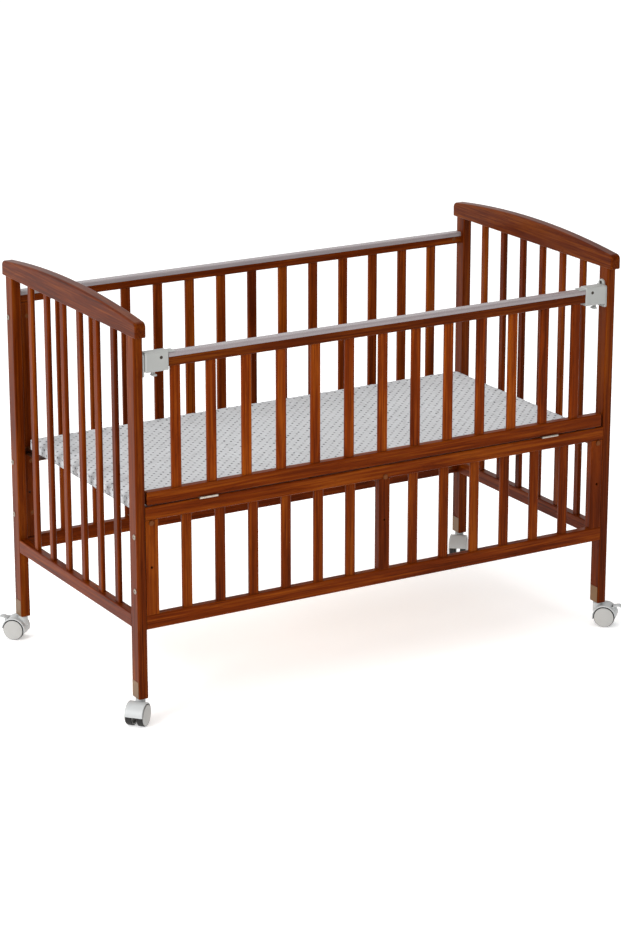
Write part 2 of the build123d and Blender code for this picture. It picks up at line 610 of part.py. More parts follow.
# ---------------------------------------------------------------- foot plates and casters
plates = []
for sx in (-1, 1):
    for sy in (-1, 1):
        for face in (-1, 1):
            xf = sx * POST_CX + face * POST_X / 2
            p = box(*sorted((xf, xf + face * 0.8)), sy * POST_CY - 13.6, sy * POST_CY + 13.6,
                    POST_BOTTOM + 0.5, POST_BOTTOM + 38.5)
            plates.append(p)
write(group(plates), "post_foot_plates")

sockets = []
for sx in (-1, 1):
    for sy in (-1, 1):
        cx, cy = sx * POST_CX, sy * POST_CY
        s = cyl_z(cx, cy, POST_BOTTOM, POST_BOTTOM + 40, 6.0)
        s += cyl_z(cx, cy, POST_BOTTOM - 1.6, POST_BOTTOM, 9.5)
        s -= cyl_z(cx, cy, POST_BOTTOM - 3, POST_BOTTOM + 38, STEM_R + 0.06)
        sockets.append(s)
write(group(sockets), "caster_sockets")


def lathe(points):
    """revolve an (r, a) outline about the axle; the axle runs along Y"""
    outline = Polyline(*[(r, a) for r, a in points], close=True)
    return revolve(make_face(outline), Axis.Y, 360)


def wheel(side):
    """twin-wheel half: moulded disc and soft tread; side is the sign along the axle"""
    dome = []
    for i in range(9):
        r = 23.2 * i / 8.0
        dome.append((r, 24.6 - 2.4 * (i / 8.0) ** 2.4))
    disc = dome + [(23.2, 20.4), (22.0, 20.4), (22.0, 6.0), (20.6, 6.0), (20.6, 13.0), (7.0, 13.0), (7.0, 4.6),
                   (AXLE_R + 0.06, 4.6), (AXLE_R + 0.06, 20.1), (0.0, 20.1)]
    tread = [(22.02, 6.0), (24.1, 6.0), (24.8, 6.8), (WHEEL_R, 8.0), (WHEEL_R, 18.2), (24.7, 19.6), (24.1, 20.3), (22.02, 20.3)]
    parts = []
    for pts in (disc, tread):
        solid = lathe(pts)
        if side < 0:
            solid = mirror(solid, Plane.XZ)
        parts.append(Pos(TRAIL, 0, WHEEL_R) * solid)
    return parts


def sector(r, a0, a1, half_w, c_x=TRAIL, c_z=WHEEL_R):
    """solid disc sector about the axle, between two angles measured from the trailing side upwards"""
    pts = [(0.0, 0.0)]
    n = 8
    for i in range(n + 1):
        a = radians(a0 + (a1 - a0) * i / n)
        pts.append((1.6 * r * cos(a), 1.6 * r * sin(a)))
    wedge = extrude(Plane.XZ * make_face(Polyline(*pts, close=True)), half_w, both=True)
    disc = Rot(90, 0, 0) * Cylinder(r, 2 * half_w)
    return Pos(c_x, 0, c_z) * (disc & wedge)


def hood(brake):
    top = WHEEL_R
    drum = sector(HOOD_R, 4, 194, 21.0)
    rounded = [e for e in drum.edges() if e.geom_type == GeomType.CIRCLE and abs(abs(e.center().Y) - 21.0) < 0.05]
    drum = fillet(rounded, 1.6)
    hollow = Pos(TRAIL, 0, WHEEL_R) * Rot(90, 0, 0) * Cylinder(26.0, 60.0)
    web = sector(26.4, 4, 194, 3.4)
    h = (drum - hollow) + web
    h += Pos(TRAIL, 0, WHEEL_R) * Rot(90, 0, 0) * Cylinder(7.5, 7.6)
    boss = cyl_z(0, 0, 34, POST_BOTTOM - 2.2, 11.0)
    boss = fillet([e for e in boss.edges() if e.center().Z > 50], 1.5)
    clear = Pos(TRAIL, 0, WHEEL_R)
    ring = Rot(90, 0, 0) * Cylinder(26.0, 60.0)
    keep = box(-12, 12, -3.8, 3.8, 20, 60)
    boss_out = boss - Pos(TRAIL, 0, WHEEL_R) * ring
    boss_mid = (cyl_z(0, 0, 30, 50, 11.0) & keep) & (Pos(TRAIL, 0, WHEEL_R) * ring)
    h += boss_out
    h += boss_mid
    h -= Pos(TRAIL, 0, WHEEL_R) * Rot(90, 0, 0) * Cylinder(AXLE_R, 20.0)
    h -= cyl_z(0, 0, 33.0, 70, STEM_R)
    if brake:
        px, pz = TRAIL + 20.0, WHEEL_R + 21.6
        h -= box(px - 5.0, px + 12, -10.2, 10.2, pz - 4.2, pz + 12)
        for s in (-1, 1):
            ear = box(px - 3.4, px + 3.2, s * 10.3, s * 12.6, pz - 4.6, pz + 2.8)
            h += ear
        h -= Pos(px, 0, pz) * Rot(90, 0, 0) * Cylinder(1.25, 26.0)
        h -= Pos(TRAIL, 0, WHEEL_R) * Rot(90, 0, 0) * (Cylinder(25.7, 26.0) - Cylinder(25.0, 7.0))
        h += sector(26.4, 4, 30, 3.4) - Pos(TRAIL, 0, WHEEL_R) * Rot(90, 0, 0) * Cylinder(AXLE_R + 3, 20.0)
    return h


def brake_lever():
    px, pz = TRAIL + 20.0, WHEEL_R + 21.6
    barrel = Pos(px, 0, pz) * Rot(90, 0, 0) * Cylinder(2.3, 19.6)
    pin = Pos(px, 0, pz) * Rot(90, 0, 0) * Cylinder(1.15, 24.6)
    up = [(px - 0.6, pz + 2.2), (px + 6, pz + 5.4), (px + 13, pz + 6.2), (px + 20, pz + 3.6), (px + 25.5, pz - 2.2)]
    dn = [(px + 23.6, pz - 3.4), (px + 18.6, pz + 1.2), (px + 12.6, pz + 3.4), (px + 6.8, pz + 2.6), (px + 1.2, pz - 1.6)]
    outline = Spline(*up) + Line(up[-1], dn[0]) + Spline(*dn) + Line(dn[-1], up[0])
    paddle = extrude(Plane.XZ * make_face(outline), 8.5, both=True)
    return barrel + pin + paddle


def stem_and_axle():
    stem = cyl_z(0, 0, 33.0, POST_BOTTOM + 34, STEM_R)
    stem = chamfer([e for e in stem.edges() if e.center().Z > 80], 1.0)
    axle = Pos(TRAIL, 0, WHEEL_R) * Rot(90, 0, 0) * Cylinder(AXLE_R, 39.4)
    return [stem, axle]


CASTERS = {
    "front_left": (-1, -1, 221.7, False),
    "back_left": (-1, 1, 136.0, True),
    "front_right": (1, -1, 316.0, True),
    "back_right": (1, 1, 231.7, False),
}
for name, (sx, sy, angle, brake) in CASTERS.items():
    place = Pos(sx * POST_CX, sy * POST_CY, 0) * Rot(0, 0, angle)
    write(group([place * hood(brake)]), name + "_caster_hood")
    write(group([place * s for s in stem_and_axle()]), name + "_caster_pins")
    write(group([place * s for s in wheel(1)]), name + "_caster_wheel_a")
    write(group([place * s for s in wheel(-1)]), name + "_caster_wheel_b")
    if brake:
        write(group([place * brake_lever()]), name + "_brake_lever")
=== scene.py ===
import math
import random
import bpy
import bmesh
from mathutils import Vector, Matrix


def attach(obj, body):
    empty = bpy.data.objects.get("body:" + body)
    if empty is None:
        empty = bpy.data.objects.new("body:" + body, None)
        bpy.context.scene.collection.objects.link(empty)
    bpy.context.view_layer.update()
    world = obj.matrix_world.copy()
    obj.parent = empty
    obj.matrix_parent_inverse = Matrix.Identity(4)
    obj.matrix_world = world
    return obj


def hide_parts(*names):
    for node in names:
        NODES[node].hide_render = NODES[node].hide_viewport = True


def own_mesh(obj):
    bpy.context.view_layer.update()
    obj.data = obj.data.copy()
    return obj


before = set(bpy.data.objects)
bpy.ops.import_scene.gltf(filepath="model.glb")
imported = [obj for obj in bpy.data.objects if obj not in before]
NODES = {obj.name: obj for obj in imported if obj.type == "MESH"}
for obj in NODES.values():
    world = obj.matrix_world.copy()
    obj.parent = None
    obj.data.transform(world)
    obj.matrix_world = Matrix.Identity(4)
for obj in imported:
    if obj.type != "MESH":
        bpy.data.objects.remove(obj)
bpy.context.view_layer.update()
MM = 0.001
rng = random.Random(7)


# ------------------------------------------------------------------ node helpers
class Mat:
    """small helper that builds a node material"""

    def __init__(self, name):
        self.m = bpy.data.materials.new(name)
        self.m.use_nodes = True
        self.nt = self.m.node_tree
        self.nt.nodes.clear()
        self.out = self.new("ShaderNodeOutputMaterial")
        self.bsdf = self.new("ShaderNodeBsdfPrincipled")
        self.link(self.bsdf.outputs[0], self.out.inputs[0])

    def new(self, kind, **kw):
        n = self.nt.nodes.new(kind)
        for k, v in kw.items():
            setattr(n, k, v)
        return n

    def link(self, a, b):
        self.nt.links.new(a, b)

    def put(self, sock, v):
        if hasattr(v, "is_linked") or isinstance(v, bpy.types.NodeSocket):
            self.link(v, sock)
        else:
            sock.default_value = v

    def math(self, op, a, b=None, c=None, clamp=False):
        n = self.new("ShaderNodeMath", operation=op)
        n.use_clamp = clamp
        self.put(n.inputs[0], a)
        if b is not None:
            self.put(n.inputs[1], b)
        if c is not None:
            self.put(n.inputs[2], c)
        return n.outputs[0]

    def vmath(self, op, a, b=None):
        n = self.new("ShaderNodeVectorMath", operation=op)
        self.put(n.inputs[0], a)
        if b is not None:
            self.put(n.inputs[1], b)
        return n.outputs[0]

    def mix(self, f, a, b, blend="MIX"):
        n = self.new("ShaderNodeMix", data_type="RGBA", blend_type=blend)
        self.put(n.inputs[0], f)
        self.put(n.inputs[6], a)
        self.put(n.inputs[7], b)
        return n.outputs[2]

    def ramp(self, f, stops, interp="LINEAR"):
        n = self.new("ShaderNodeValToRGB")
        self.link(f, n.inputs[0])
        cr = n.color_ramp
        cr.interpolation = interp
        while len(cr.elements) > 1:
            cr.elements.remove(cr.elements[-1])
        first = True
        for p, c in stops:
            c = tuple(c) if len(c) == 4 else tuple(c) + (1.0,)
            if first:
                cr.elements[0].position = p
                cr.elements[0].color = c
                first = False
            else:
                e = cr.elements.new(p)
                e.color = c
        return n.outputs[0]

    def noise(self, vec, scale, detail=3.0, rough=0.5, dist=0.0, dims="3D", w=None):
        n = self.new("ShaderNodeTexNoise", noise_dimensions=dims)
        if vec is not None:
            self.link(vec, n.inputs["Vector"])
        n.inputs["Scale"].default_value = scale
        n.inputs["Detail"].default_value = detail
        n.inputs["Roughness"].default_value = rough
        n.inputs["Distortion"].default_value = dist
        if w is not None:
            self.put(n.inputs["W"], w)
        return n.outputs["Fac"]

    def bump(self, height, strength, distance, normal=None):
        n = self.new("ShaderNodeBump")
        n.inputs["Strength"].default_value = strength
        n.inputs["Distance"].default_value = distance
        self.link(height, n.inputs["Height"])
        if normal is not None:
            self.link(normal, n.inputs["Normal"])
        return n.outputs[0]


def srgb(r, g, b):
    def f(c):
        c /= 255.0
        return c / 12.92 if c <= 0.04045 else ((c + 0.055) / 1.055) ** 2.4
    return (f(r), f(g), f(b))


# ------------------------------------------------------------------ stained wood
DARK = (0.062, 0.0070, 0.0003)
MID = (0.135, 0.0190, 0.0008)
LIGHT = (0.235, 0.0500, 0.0030)


def wood(name, axis, cells=None, seed=0.0, tone=1.0):
    """reddish brown stained hardwood under satin lacquer.  axis is the grain direction (0, 1, 2).
    cells is (coordinate, pitch, offset) in metres for a node that holds many slats: each gets its own board."""
    k = Mat(name)
    tc = k.new("ShaderNodeTexCoord")
    obj = tc.outputs["Object"]
    sep = k.new("ShaderNodeSeparateXYZ")
    k.link(obj, sep.inputs[0])
    comp = [sep.outputs[0], sep.outputs[1], sep.outputs[2]]
    # which board of the node this is
    if cells:
        idx = k.math("FLOOR", k.math("DIVIDE", k.math("ADD", comp[cells[0]], cells[2]), cells[1]))
        if len(cells) > 3:      # a second coordinate tells two rows apart
            idx = k.math("ADD", idx, k.math("MULTIPLY", k.math("GREATER_THAN", comp[cells[3]], 0.0), 37.0))
        wn = k.new("ShaderNodeTexWhiteNoise", noise_dimensions="1D")
        k.link(k.math("ADD", idx, seed * 13.7 + 0.5), wn.inputs["W"])
        rnd = wn.outputs["Value"]
        rcol = wn.outputs["Color"]
    else:
        rnd = None
    # stretch coordinates along the grain
    stretch = [1.0, 1.0, 1.0]
    stretch[axis] = 0.045
    mp = k.new("ShaderNodeMapping")
    k.link(obj, mp.inputs["Vector"])
    mp.inputs["Scale"].default_value = stretch
    mp.inputs["Location"].default_value = (seed * 1.7, seed * 2.3, seed * 0.9)
    vec = mp.outputs[0]
    if rnd is not None:
        sc = k.new("ShaderNodeVectorMath", operation="SCALE")
        k.link(rcol, sc.inputs[0])
        sc.inputs["Scale"].default_value = 3.0
        vec = k.vmath("ADD", vec, sc.outputs[0])
    # growth rings seen as long wavering streaks, finer pores, and slow mottling of the stain
    warp = k.noise(vec, 18.0, 2.0, 0.5)
    ring = k.noise(vec, 90.0, 4.0, 0.62, 0.8)
    mp3 = k.new("ShaderNodeMapping")
    k.link(vec, mp3.inputs["Vector"])
    s3 = [1.0, 1.0, 1.0]
    s3[axis] = 0.40
    mp3.inputs["Scale"].default_value = s3
    fine = k.noise(mp3.outputs[0], 270.0, 3.0, 0.6)
    pore = k.noise(mp3.outputs[0], 620.0, 2.0, 0.6)
    mp2 = k.new("ShaderNodeMapping")
    k.link(obj, mp2.inputs["Vector"])
    s2 = [1.0, 1.0, 1.0]
    s2[axis] = 0.35
    mp2.inputs["Scale"].default_value = s2
    mp2.inputs["Location"].default_value = (seed * 0.7, seed * 1.1, seed * 3.1)
    blotch = k.noise(mp2.outputs[0], 9.0, 3.0, 0.55)
    t = k.math("ADD", k.math("MULTIPLY", ring, 0.62), k.math("MULTIPLY", warp, 0.38))
    t = k.math("ADD", t, k.math("MULTIPLY", k.math("SUBTRACT", fine, 0.5), 0.62))
    t = k.math("ADD", t, k.math("MULTIPLY", k.math("SUBTRACT", blotch, 0.5), 0.36))
    if rnd is not None:
        t = k.math("ADD", t, k.math("MULTIPLY", k.math("SUBTRACT", rnd, 0.5), 0.16))
    d = tuple(c * tone for c in DARK)
    m = tuple(c * tone for c in MID)
    l = tuple(c * tone for c in LIGHT)
    col = k.ramp(t, [(0.30, d), (0.50, m), (0.70, l)])
    line = k.math("ABSOLUTE", k.math("SUBTRACT", k.math("FRACT", k.math("MULTIPLY", ring, 7.0)), 0.5))
    lines = k.ramp(line, [(0.02, (0.42, 0.34, 0.28)), (0.14, (1, 1, 1))])
    col = k.mix(0.42, col, k.mix(1.0, col, lines, "MULTIPLY"))
    pores = k.ramp(pore, [(0.30, (0.55, 0.50, 0.45)), (0.44, (1, 1, 1))])
    col = k.mix(0.55, col, k.mix(1.0, col, pores, "MULTIPLY"))
    # painted highlight: the stain is made a little lighter on the rounded corners, standing in for the light the edges
    # catch
    geo = k.new("ShaderNodeNewGeometry")
    bev = k.new("ShaderNodeBevel")
    bev.samples = 4
    bev.inputs["Radius"].default_value = 0.0035
    dotn = k.new("ShaderNodeVectorMath", operation="DOT_PRODUCT")
    k.link(bev.outputs[0], dotn.inputs[0])
    k.link(geo.outputs["True Normal"], dotn.inputs[1])
    edge = k.math("MULTIPLY", k.math("SUBTRACT", 1.0, dotn.outputs["Value"]), 2.2, clamp=True)
    edge = k.math("MULTIPLY", edge, k.math("ADD", 0.35, k.math("MULTIPLY", fine, 0.9)))
    col = k.mix(k.math("MULTIPLY", edge, 0.22), col, (0.36, 0.10, 0.020, 1.0))
    k.link(col, k.bsdf.inputs["Base Color"])
    rough = k.math("ADD", 0.30, k.math("MULTIPLY", k.math("SUBTRACT", blotch, 0.5), 0.14))
    k.link(rough, k.bsdf.inputs["Roughness"])
    k.bsdf.inputs["IOR"].default_value = 1.17
    k.bsdf.inputs["Specular IOR Level"].default_value = 0.50
    k.bsdf.inputs["Specular Tint"].default_value = (1.0, 0.34, 0.08, 1.0)
    k.bsdf.inputs["Coat Weight"].default_value = 0.03
    k.bsdf.inputs["Coat Roughness"].default_value = 0.12
    h = k.math("ADD", k.math("MULTIPLY", fine, 0.5), k.math("MULTIPLY", pore, 0.5))
    nrm = k.bump(h, 0.22, 0.0006)
    wave = k.noise(mp2.outputs[0], 22.0, 2.0, 0.5)
    nrm = k.bump(wave, 0.10, 0.004, nrm)
    k.link(nrm, k.bsdf.inputs["Normal"])
    return k.m


# ------------------------------------------------------------------ plastics, metals, ply
def plastic(name, color, rough=0.42, mottled=0.05, grain=900.0, bump=0.12, coat=0.0, spec=0.5):
    k = Mat(name)
    tc = k.new("ShaderNodeTexCoord")
    obj = tc.outputs["Object"]
    big = k.noise(obj, 14.0, 3.0, 0.55)
    small = k.noise(obj, grain, 2.0, 0.6)
    c = tuple(color)
    dk = tuple(v * (1 - 1.6 * mottled) for v in c)
    lt = tuple(min(1.0, v * (1 + 1.1 * mottled)) for v in c)
    col = k.ramp(big, [(0.30, dk), (0.72, lt)])
    k.link(col, k.bsdf.inputs["Base Color"])
    r = k.math("ADD", rough - 0.05, k.math("MULTIPLY", small, 0.10))
    k.link(r, k.bsdf.inputs["Roughness"])
    k.bsdf.inputs["Specular IOR Level"].default_value = spec
    if coat:
        k.bsdf.inputs["Coat Weight"].default_value = coat
        k.bsdf.inputs["Coat Roughness"].default_value = 0.12
    k.link(k.bump(small, bump, 0.0004), k.bsdf.inputs["Normal"])
    return k.m


def metal(name, color, rough=0.32, brushed=None):
    k = Mat(name)
    tc = k.new("ShaderNodeTexCoord")
    vec = tc.outputs["Object"]
    if brushed is not None:
        mp = k.new("ShaderNodeMapping")
        k.link(vec, mp.inputs["Vector"])
        s = [1.0, 1.0, 1.0]
        s[brushed] = 0.05
        mp.inputs["Scale"].default_value = s
        vec = mp.outputs[0]
    n1 = k.noise(vec, 60.0, 4.0, 0.6)
    n2 = k.noise(vec, 1400.0, 2.0, 0.5)
    c = tuple(color)
    col = k.ramp(n1, [(0.3, tuple(v * 0.80 for v in c)), (0.7, c)])
    k.link(col, k.bsdf.inputs["Base Color"])
    k.bsdf.inputs["Metallic"].default_value = 1.0
    k.link(k.math("ADD", rough - 0.08, k.math("MULTIPLY", n1, 0.16)), k.bsdf.inputs["Roughness"])
    k.link(k.bump(n2, 0.10, 0.0002), k.bsdf.inputs["Normal"])
    return k.m


def plywood(name):
    k = Mat(name)
    tc = k.new("ShaderNodeTexCoord")
    obj = tc.outputs["Object"]
    mp = k.new("ShaderNodeMapping")
    k.link(obj, mp.inputs["Vector"])
    mp.inputs["Scale"].default_value = (0.06, 1.0, 1.0)
    v = mp.outputs[0]
    ring = k.noise(v, 38.0, 4.0, 0.6, 1.2)
    fine = k.noise(v, 320.0, 2.0, 0.5)
    t = k.math("ADD", k.math("MULTIPLY", ring, 0.8), k.math("MULTIPLY", fine, 0.2))
    face = k.ramp(t, [(0.25, srgb(150, 112, 72)), (0.55, srgb(189, 150, 104)), (0.8, srgb(208, 172, 126))])
    sep = k.new("ShaderNodeSeparateXYZ")
    k.link(obj, sep.inputs[0])
    layer = k.math("FRACT", k.math("DIVIDE", sep.outputs[2], 0.0024))
    plies = k.ramp(layer, [(0.0, srgb(120, 84, 50)), (0.48, srgb(128, 90, 54)), (0.52, srgb(196, 160, 116)), (1.0, srgb(188, 150, 106))])
    geo = k.new("ShaderNodeNewGeometry")
    sn = k.new("ShaderNodeSeparateXYZ")
    k.link(geo.outputs["True Normal"], sn.inputs[0])
    flat = k.math("GREATER_THAN", k.math("ABSOLUTE", sn.outputs[2]), 0.7)
    k.link(k.mix(flat, plies, face), k.bsdf.inputs["Base Color"])
    k.bsdf.inputs["Roughness"].default_value = 0.62
    k.link(k.bump(k.math("ADD", fine, ring), 0.18, 0.0008), k.bsdf.inputs["Normal"])
    return k.m


wood_for = {}
for i, n in enumerate(["front_left_post", "front_right_post", "back_left_post", "back_right_post"]):
    wood_for[n] = wood("wood_" + n, 2, None, 3.1 + i * 2.3, 0.74)
for i, n in enumerate(["left_end_cap_rail", "right_end_cap_rail", "left_end_bottom_rail", "right_end_bottom_rail"]):
    wood_for[n] = wood("wood_" + n, 1, None, 21.0 + i * 1.9, 0.60 if "cap" in n else 0.85)
# the gate top rail gets a darker tone (0.60) as painted shade from the teething cover above it
for i, n in enumerate(["back_top_rail", "back_bottom_rail", "lower_front_top_rail", "lower_front_bottom_rail",
                       "gate_top_rail", "gate_bottom_rail"]):
    wood_for[n] = wood("wood_" + n, 0, None, 41.0 + i * 2.7, 0.60 if n == "gate_top_rail" else 0.90)
wood_for["base_battens"] = wood("wood_base_battens", 1, (0, 0.4, 0.2), 60.0, 0.9)
wood_for["end_slats"] = wood("wood_end_slats", 2, (1, 0.0823, 0.0823 * 8, 0), 71.0, 0.88)
wood_for["back_slats"] = wood("wood_back_slats", 2, (0, 0.0839, 0.4901 + 0.0839 * 6.5), 73.0, 1.02)
wood_for["lower_front_slats"] = wood("wood_lower_front_slats", 2, (0, 0.0824, 0.0824 * 8.5), 77.0, 0.90)
wood_for["gate_slats"] = wood("wood_gate_slats", 2, (0, 0.0862, 0.0862 * 8.5), 81.0, 1.12)
wood_for["panel_stiles"] = wood("wood_panel_stiles", 2, (0, 0.3, 0.15 + 0.9, 1), 85.0, 0.90)

cover_mat = plastic("grey_cover", srgb(138, 128, 129), 0.28, 0.03, 700.0, 0.06, 0.3)
latch_mat = plastic("latch_grey", srgb(156, 157, 154), 0.45, 0.03)
hood_mat = plastic("caster_hood_grey", srgb(178, 180, 180), 0.42, 0.03)
disc_mat = plastic("caster_disc_grey", srgb(166, 165, 162), 0.40, 0.03)
tread_mat = plastic("caster_tread", srgb(28, 26, 25), 0.55, 0.14, 1100.0, 0.25, 0.0, 0.30)
zinc = metal("zinc_steel", (0.56, 0.50, 0.43), 0.30, 0)
steel = metal("caster_steel", (0.70, 0.69, 0.67), 0.25)
bolt_zinc = metal("bolt_zinc", (0.34, 0.29, 0.24), 0.36)
bronze = metal("bronze_hardware", (0.16, 0.055, 0.020), 0.42)
screw_dark = metal("dark_screws", (0.075, 0.062, 0.055), 0.45)
# foot plates: a tan colour darkened as painted shade, for the shadow the plates sit in
shaded_foot_plate = plastic("foot_plate_tan_painted_shade", srgb(104, 72, 34), 0.38, 0.14, 500.0, 0.10)
ply = plywood("base_plywood")

for n, m in wood_for.items():
    NODES[n].data.materials.clear()
    NODES[n].data.materials.append(m)


def set_mat(names, m):
    for n in names:
        NODES[n].data.materials.clear()
        NODES[n].data.materials.append(m)


CN = ["front_left", "back_left", "front_right", "back_right"]
set_mat(["mattress_board"], ply)
set_mat(["gate_teething_cover", "back_teething_cover"], cover_mat)
set_mat(["latch_keepers", "left_latch_housing", "right_latch_housing", "left_latch_bolt", "right_latch_bolt"], latch_mat)
set_mat(["hinge_lower_leaves", "hinge_upper_leaves",
         "hinge_pins", "caster_sockets", "left_latch_spring", "right_latch_spring"], zinc)
set_mat(["panel_bolts"], bolt_zinc)
set_mat(["base_bolts", "barrel_nuts", "base_brackets"], bronze)
set_mat(["fixed_side_screws", "gate_screws"], screw_dark)
set_mat([n + "_caster_pins" for n in CN], steel)
set_mat(["post_foot_plates"], shaded_foot_plate)
set_mat([n + "_caster_hood" for n in CN] + ["back_left_brake_lever", "front_right_brake_lever"], hood_mat)

# wheels: light disc, dark tread, told apart by distance from the axle
PCX, PCY, TRAIL = 0.60875, 0.30065, 0.019
CAST = {"front_left": (-1, -1, 221.7), "back_left": (-1, 1, 136.0), "front_right": (1, -1, 316.0), "back_right": (1, 1, 231.7)}
for n in CN:
    sx, sy, a = CAST[n]
    t = math.radians(a)
    c = Vector((sx * PCX + TRAIL * math.cos(t), sy * PCY + TRAIL * math.sin(t), 0.025))
    ax = Vector((-math.sin(t), math.cos(t), 0))
    for w in "ab":
        o = NODES[n + "_caster_wheel_" + w]
        me = o.data
        me.materials.clear()
        me.materials.append(disc_mat)
        me.materials.append(tread_mat)
        for p in me.polygons:
            d = Vector(p.center) - c
            along = abs(d.dot(ax))
            rad = (d - ax * d.dot(ax)).length
            p.material_index = 1 if (rad > 0.0216 and along < 0.0204) else 0

# smooth shading on the CAD pieces where the angle is small
for o in NODES.values():
    if o.type == "MESH":
        bpy.context.view_layer.objects.active = o
        for p in o.data.polygons:
            p.use_smooth = True
        o.data.set_sharp_from_angle(angle=math.radians(32))


# ------------------------------------------------------------------ mattress
def fabric():
    k = Mat("mattress_print")
    tc = k.new("ShaderNodeTexCoord")
    obj = tc.outputs["Object"]
    sep = k.new("ShaderNodeSeparateXYZ")
    k.link(obj, sep.inputs[0])
    geo = k.new("ShaderNodeNewGeometry")
    sn = k.new("ShaderNodeSeparateXYZ")
    k.link(geo.outputs["Normal"], sn.inputs[0])
    # the print runs over the sides: u and v swap to the side's own plane there
    side_x = k.math("GREATER_THAN", k.math("ABSOLUTE", sn.outputs[0]), 0.72)
    side_y = k.math("GREATER_THAN", k.math("ABSOLUTE", sn.outputs[1]), 0.72)
    z = sep.outputs[2]
    u = k.math("ADD", k.math("MULTIPLY", sep.outputs[0], k.math("SUBTRACT", 1.0, side_x)), k.math("MULTIPLY", z, side_x))
    v = k.math("ADD", k.math("MULTIPLY", sep.outputs[1], k.math("SUBTRACT", 1.0, side_y)), k.math("MULTIPLY", z, side_y))
    P = 0.0230

    def dash(off):
        fu = k.math("SUBTRACT", k.math("FRACT", k.math("ADD", k.math("DIVIDE", u, P), 60.0 + off)), 0.5)
        fv = k.math("SUBTRACT", k.math("FRACT", k.math("ADD", k.math("DIVIDE", v, P), 60.0 + off)), 0.5)
        a = k.math("DIVIDE", k.math("MULTIPLY", k.math("ABSOLUTE", fu), P), 0.0027)
        b = k.math("DIVIDE", k.math("MULTIPLY", k.math("ABSOLUTE", fv), P), 0.0027)
        r = k.math("ADD", k.math("POWER", a, 2.0), k.math("POWER", b, 2.0))
        return k.math("SUBTRACT", 1.0, k.math("MULTIPLY", k.math("SUBTRACT", r, 0.70), 2.0), clamp=True)

    mask = k.math("MAXIMUM", dash(0.0), dash(0.5))
    ink = k.noise(obj, 2600.0, 2.0, 0.6)
    mask = k.math("MULTIPLY", mask, k.math("ADD", 0.72, k.math("MULTIPLY", ink, 0.4)), clamp=True)
    soft = k.noise(obj, 7.0, 3.0, 0.5)
    base = k.ramp(soft, [(0.3, srgb(186, 188, 190)), (0.7, srgb(194, 196, 198))])
    col = k.mix(mask, base, srgb(46, 48, 52) + (1.0,))
    # plain weave
    wu = k.math("SINE", k.math("MULTIPLY", u, 2 * math.pi / 0.00075))
    wv = k.math("SINE", k.math("MULTIPLY", v, 2 * math.pi / 0.00075))
    weave = k.math("ADD", k.math("MULTIPLY", k.math("MULTIPLY", wu, wv), 0.5), 0.5)
    col = k.mix(k.math("MULTIPLY", weave, 0.10), col, (0.45, 0.46, 0.48, 1.0))
    k.link(col, k.bsdf.inputs["Base Color"])
    k.bsdf.inputs["Roughness"].default_value = 0.86
    k.bsdf.inputs["Sheen Weight"].default_value = 0.25
    k.bsdf.inputs["Sheen Roughness"].default_value = 0.5
    k.bsdf.inputs["Specular IOR Level"].default_value = 0.25
    crease = k.noise(obj, 30.0, 4.0, 0.55)
    nrm = k.bump(weave, 0.25, 0.0003)
    nrm = k.bump(crease, 0.06, 0.0014, nrm)
    k.link(nrm, k.bsdf.inputs["Normal"])
    return k.m


def rounded_pad(hx, hy, z0, z1, corner, nx=84, ny=42, rim=5):
    """closed pad built from a grid top with rounded corners, a straight side wall and a flat bottom"""
    bm = bmesh.new()
    import itertools

    def outline_point(x, y):
        # pull the grid's corners in to a rounded plan
        ax, ay = abs(x) - (hx - corner), abs(y) - (hy - corner)
        if ax > 0 and ay > 0:
            d = math.hypot(ax, ay)
            m = max(ax, ay)
            s = m / d
            ax, ay = ax * s, ay * s
            x = math.copysign(hx - corner + ax, x)
            y = math.copysign(hy - corner + ay, y)
        return x, y
    xs = [(-1 + 2 * i / nx) for i in range(nx + 1)]
    ys = [(-1 + 2 * j / ny) for j in range(ny + 1)]
    layers = []
    steps = 10
    # sections from the top's middle out over the edge and under
    def height(x, y):
        e = min((hx - abs(x)), (hy - abs(y)))
        return e
    top = {}
    bot = {}
    for i, a in enumerate(xs):
        for j, b in enumerate(ys):
            x, y = outline_point(a * hx, b * hy)
            top[i, j] = bm.verts.new((x, y, z1))
            bot[i, j] = bm.verts.new((x, y, z0))
    for i, j in itertools.product(range(nx), range(ny)):
        bm.faces.new((top[i, j], top[i + 1, j], top[i + 1, j + 1], top[i, j + 1]))
        bm.faces.new((bot[i, j], bot[i, j + 1], bot[i + 1, j + 1], bot[i + 1, j]))
    ring = [(i, 0) for i in range(nx)] + [(nx, j) for j in range(ny)] + [(i, ny) for i in range(nx, 0, -1)] + [(0, j) for j in range(ny, 0, -1)]
    prev_t = [top[r] for r in ring]
    levels = 6
    rows = [prev_t]
    for s in range(1, levels):
        f = s / levels
        rows.append([bm.verts.new((v.co.x, v.co.y, z1 + (z0 - z1) * f)) for v in prev_t])
    rows.append([bot[r] for r in ring])
    n = len(ring)
    for a, b in zip(rows[:-1], rows[1:]):
        for q in range(n):
            bm.faces.new((a[q], b[q], b[(q + 1) % n], a[(q + 1) % n]))
    bmesh.ops.recalc_face_normals(bm, faces=bm.faces)
    me = bpy.data.meshes.new("mattress_pad")
    bm.to_mesh(me)
    bm.free()
    return me


